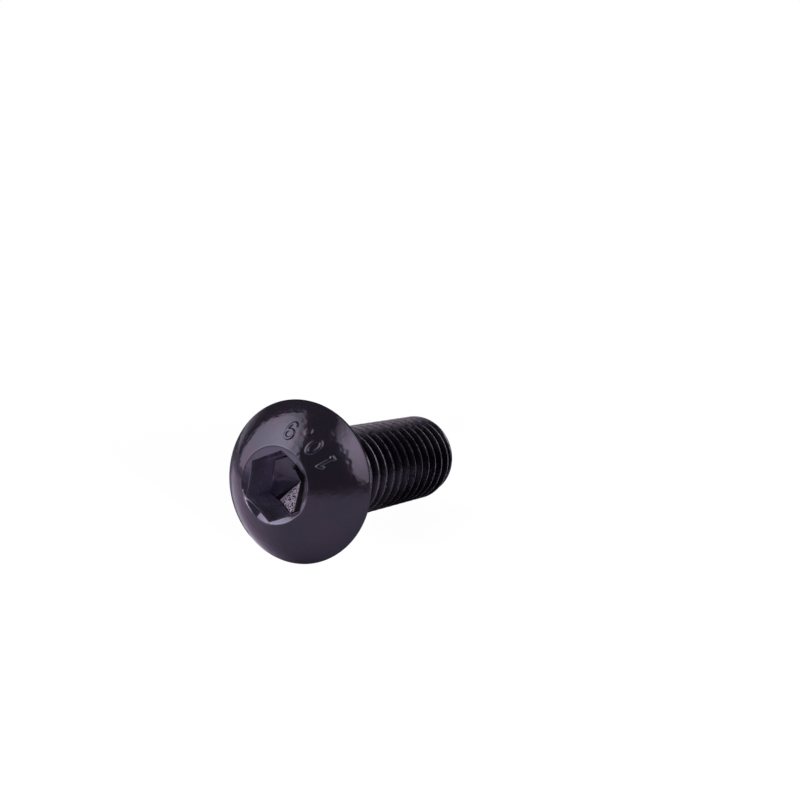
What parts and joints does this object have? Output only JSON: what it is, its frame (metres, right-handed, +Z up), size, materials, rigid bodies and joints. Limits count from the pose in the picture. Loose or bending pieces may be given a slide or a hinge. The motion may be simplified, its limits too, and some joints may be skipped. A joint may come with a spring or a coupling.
{
  "type": "button head screw",
  "caption": "Black hexagon socket button head screw with a metric coarse thread, lying on the rim of its head and its thread.",
  "frame": {"origin": "bottom centre of the box around the screw, on the level ground that it lies on", "axes": "+Z up, +X level along the screw from its head to its tip, the screw's own axis in the XZ plane and dipping 7.6 degrees towards the tip"},
  "size_m": [0.0196, 0.01, 0.01],
  "materials": {
    "black_steel": "gloss"
  },
  "bodies": {
    "root": {"button_head_screw": "black_steel"}
  },
  "joints": []
}
